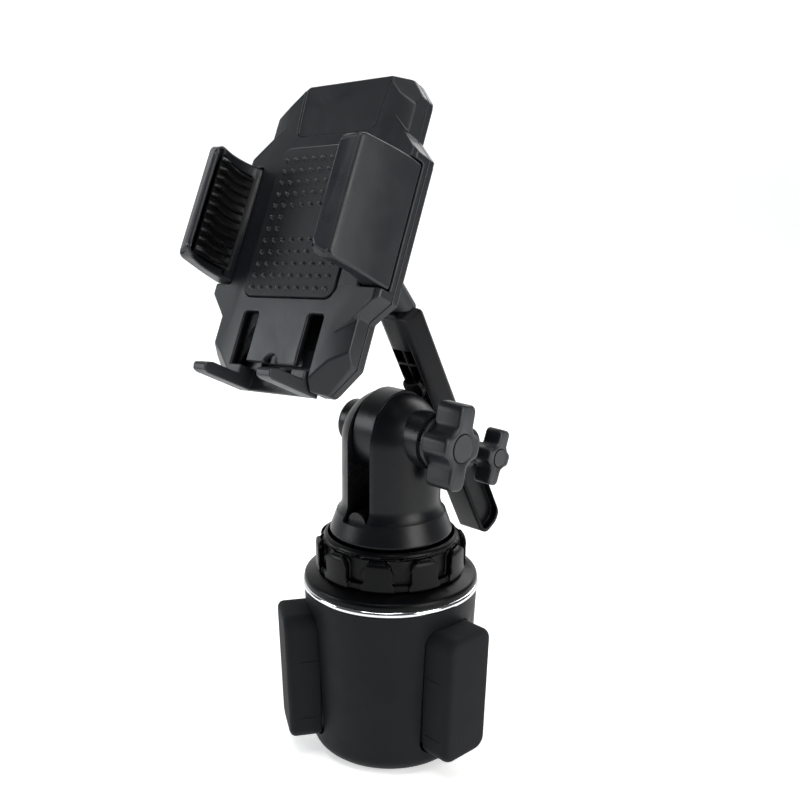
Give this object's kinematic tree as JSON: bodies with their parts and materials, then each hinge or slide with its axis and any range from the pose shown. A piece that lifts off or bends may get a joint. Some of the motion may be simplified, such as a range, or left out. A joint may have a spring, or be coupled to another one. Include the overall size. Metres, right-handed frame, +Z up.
{
  "type": "car cup-holder phone mount",
  "caption": "Car phone mount with a cup-holder base that expands by a twist dial, a folding arm with locking knobs, a ball joint and a cradle with spring-shut side jaws and lower feet.",
  "frame": {"origin": "centre of the foot at the bottom of the cup", "axes": "+Z up along the cup, +X along the neck's pivot bolt from its cap to its knob, -Y the way the phone faces"},
  "size_m": [0.0832, 0.1401, 0.2523],
  "materials": {
    "satin_black": "satin moulded, fine grain",
    "rubber": "matt rubber",
    "steel": "bright zinc-plated",
    "brass": "turned",
    "acetal": "natural acetal",
    "grey_plastic": "dark grey moulded",
    "chrome_trim": "polished plating"
  },
  "bodies": {
    "base": {"cup_shell": "satin_black", "foot_pad": "rubber", "base_screw": "steel", "guide_frame": "grey_plastic", "spindle": "steel", "trim_ring": "chrome_trim", "top_collar": "satin_black", "neck_yoke": "satin_black", "neck_bolt": "steel", "pivot_bolt": "steel", "pivot_cap": "satin_black", "pivot_washer": "steel", "friction_washers": "steel"},
    "dial": {"dial_ring": "satin_black", "cam_plate": "steel", "dial_screws": "steel"},
    "pad_right": {"slider_1": "grey_plastic", "grip_pad_1": "rubber"},
    "pad_back": {"slider_2": "grey_plastic", "grip_pad_2": "rubber"},
    "pad_left": {"slider_3": "grey_plastic", "grip_pad_3": "rubber"},
    "pivot_knob": {"knob_1": "satin_black", "knob_1_insert": "brass", "knob_1_cap": "satin_black"},
    "link": {"lower_link": "satin_black"},
    "arm": {"arm_beam": "satin_black", "elbow_bolt": "steel", "elbow_washer": "steel", "stem_collar": "satin_black", "ball_stud": "steel", "stud_pin": "steel"},
    "elbow_knob": {"knob_2": "satin_black", "knob_2_insert": "brass", "knob_2_cap": "satin_black"},
    "seat": {"ball_seat": "acetal"},
    "ring": {"friction_ring": "rubber"},
    "cradle": {"rear_shell": "satin_black", "front_shell": "satin_black", "shell_screws": "steel", "dot_pad": "rubber", "pinion_screw": "steel", "pinion_spring": "steel"},
    "nut": {"ring_nut": "satin_black"},
    "jaw_right": {"clamp_right": "satin_black", "liner_right": "rubber"},
    "jaw_left": {"clamp_left": "satin_black", "liner_left": "rubber"},
    "pinion": {"sync_pinion": "acetal"},
    "feet": {"foot_bracket": "satin_black"}
  },
  "joints": [
    {"name": "dial_turn", "type": "hinge", "parent": "base", "child": "dial", "pos_m": [0, 0, 0.08], "axis": [0, 0, 1], "range_deg": [-96, 30]},
    {"name": "pad_right_slide", "type": "slide", "parent": "base", "child": "pad_right", "axis": [0.9976, -0.0698, 0], "range_m": [-0.0096, 0.003]},
    {"name": "pad_back_slide", "type": "slide", "parent": "base", "child": "pad_back", "axis": [-0.4384, 0.8988, 0], "range_m": [-0.0096, 0.003]},
    {"name": "pad_left_slide", "type": "slide", "parent": "base", "child": "pad_left", "axis": [-0.5592, -0.829, 0], "range_m": [-0.0096, 0.003]},
    {"name": "pivot_knob_turn", "type": "hinge", "parent": "base", "child": "pivot_knob", "pos_m": [0.028, 0, 0.1266], "axis": [1, 0, 0], "continuous": true},
    {"name": "link_tilt", "type": "hinge", "parent": "base", "child": "link", "pos_m": [0, 0, 0.1266], "axis": [1, 0, 0], "range_deg": [-6, 60]},
    {"name": "arm_tilt", "type": "hinge", "parent": "link", "child": "arm", "pos_m": [0, 0.0355, 0.1128], "axis": [1, 0, 0], "range_deg": [-12, 0]},
    {"name": "elbow_knob_turn", "type": "hinge", "parent": "arm", "child": "elbow_knob", "pos_m": [0.018, 0.0355, 0.1128], "axis": [1, 0, 0], "continuous": true},
    {"name": "ball_tilt", "type": "hinge", "parent": "arm", "child": "seat", "pos_m": [0, -0.01246, 0.19338], "axis": [0.9954, 0.0443, 0.085], "range_deg": [-54, 12]},
    {"name": "ball_swing", "type": "hinge", "parent": "seat", "child": "ring", "pos_m": [0, -0.01246, 0.19338], "axis": [-0.0958, 0.4596, 0.8829], "range_deg": [-26, 26]},
    {"name": "ball_roll", "type": "hinge", "parent": "ring", "child": "cradle", "pos_m": [0, -0.01246, 0.19338], "axis": [0, -0.887, 0.4617], "continuous": true},
    {"name": "ring_nut_turn", "type": "hinge", "parent": "cradle", "child": "nut", "pos_m": [0, -0.01246, 0.19338], "axis": [0, -0.887, 0.4617], "continuous": true},
    {"name": "jaw_right_slide", "type": "slide", "parent": "cradle", "child": "jaw_right", "axis": [0.9954, 0.0443, 0.085], "range_m": [0, 0.016], "stiffness_N_per_m": 60, "springref_m": -0.03},
    {"name": "jaw_left_slide", "type": "slide", "parent": "cradle", "child": "jaw_left", "axis": [-0.9954, -0.0443, -0.085], "range_m": [0, 0.016]},
    {"name": "pinion_turn", "type": "hinge", "parent": "cradle", "child": "pinion", "pos_m": [0.00024, -0.03756, 0.20364], "axis": [0, 0.887, -0.4617], "range_deg": [0, 154]},
    {"name": "feet_slide", "type": "slide", "parent": "cradle", "child": "feet", "axis": [-0.0958, 0.4596, 0.8829], "range_m": [0, 0.018]}
  ],
  "couplings": [
    {"joint": "pad_right_slide", "follows": "dial_turn", "m_per_rad": 0.0057296},
    {"joint": "pad_back_slide", "follows": "dial_turn", "m_per_rad": 0.0057296},
    {"joint": "pad_left_slide", "follows": "dial_turn", "m_per_rad": 0.0057296},
    {"joint": "jaw_left_slide", "follows": "jaw_right_slide", "ratio": 1},
    {"joint": "pinion_turn", "follows": "jaw_right_slide", "rad_per_m": 166.67}
  ]
}
